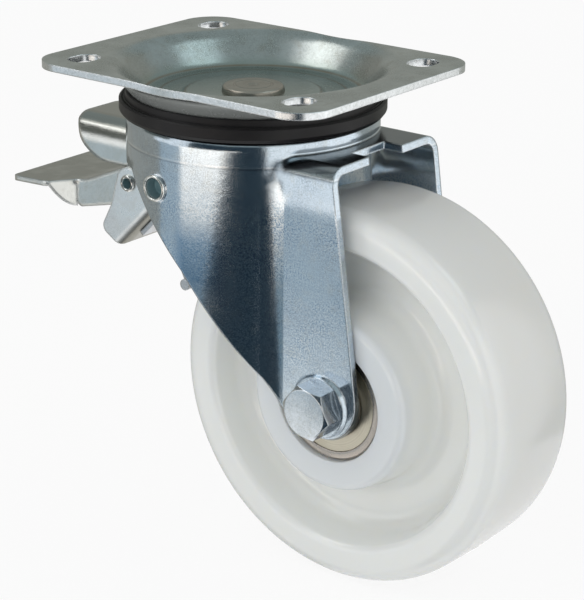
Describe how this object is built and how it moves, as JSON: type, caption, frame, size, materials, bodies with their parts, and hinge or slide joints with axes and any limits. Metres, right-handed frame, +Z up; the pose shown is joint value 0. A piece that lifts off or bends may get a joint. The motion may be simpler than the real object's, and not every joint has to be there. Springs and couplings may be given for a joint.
{
  "type": "swivel castor",
  "caption": "Plate-mounted swivel castor: pressed steel fork, white plastic wheel on ball bearings, and a foot lever that brakes the wheel and swivel together.",
  "frame": {"origin": "on the swivel axis, level with the top face of the plate", "axes": "+Z up out of the plate, X along the plate's long side with the wheel trailing at +X and the brake lever at -X, Y along the wheel's axle"},
  "size_m": [0.2384, 0.109, 0.1931],
  "materials": {
    "zinc_sheet": "bright zinc plate with a fine sparkle",
    "zinc_bolt": "bright zinc plate",
    "race_steel": "ground and oiled",
    "ball_steel": "polished",
    "ring_steel": "ground, pinkish grey",
    "shield_steel": "pressed, pale bronze tint",
    "spring_steel": "zinc plated spring strip",
    "seal_rubber": "moulded, satin",
    "polyamide": "milky, satin"
  },
  "bodies": {
    "plate": {"top_plate": "zinc_sheet", "king_pin": "race_steel", "lower_race": "race_steel", "lock_ring": "race_steel", "upper_balls": "ball_steel", "lower_balls": "ball_steel", "dust_seal": "seal_rubber"},
    "fork": {"fork": "zinc_sheet", "lever_pivot": "zinc_bolt", "axle_bolt": "zinc_bolt", "axle_nut": "zinc_bolt", "nut_washer": "zinc_bolt", "axle_sleeve": "race_steel", "distance_tube": "race_steel", "near_spacer": "race_steel", "far_spacer": "race_steel", "near_inner_ring": "race_steel", "far_inner_ring": "race_steel"},
    "wheel": {"wheel": "polyamide", "near_outer_ring": "ring_steel", "far_outer_ring": "ring_steel", "near_balls": "ball_steel", "far_balls": "ball_steel", "near_shields": "shield_steel", "far_shields": "shield_steel"},
    "lever": {"brake_pedal": "zinc_sheet", "release_hood": "zinc_sheet", "lock_pawl": "race_steel", "link_rivets": "zinc_bolt"},
    "shoe": {"shoe_bracket": "zinc_sheet", "brake_leaf": "spring_steel", "leaf_rivets": "zinc_bolt"}
  },
  "joints": [
    {"name": "swivel", "type": "hinge", "parent": "plate", "child": "fork", "pos_m": [0, 0, 0], "axis": [0, 0, 1], "continuous": true},
    {"name": "wheel_spin", "type": "hinge", "parent": "fork", "child": "wheel", "pos_m": [0.0594, 0, -0.1176], "axis": [0, 1, 0], "continuous": true},
    {"name": "lever_press", "type": "hinge", "parent": "fork", "child": "lever", "pos_m": [-0.0075, 0, -0.0411], "axis": [0, -1, 0], "range_deg": [0, 16]},
    {"name": "shoe_swing", "type": "hinge", "parent": "lever", "child": "shoe", "pos_m": [-0.0454, 0, -0.0525], "axis": [0, -1, 0], "range_deg": [-22.5, 0]}
  ],
  "couplings": [
    {"joint": "shoe_swing", "follows": "lever_press", "ratio": -1.4}
  ]
}
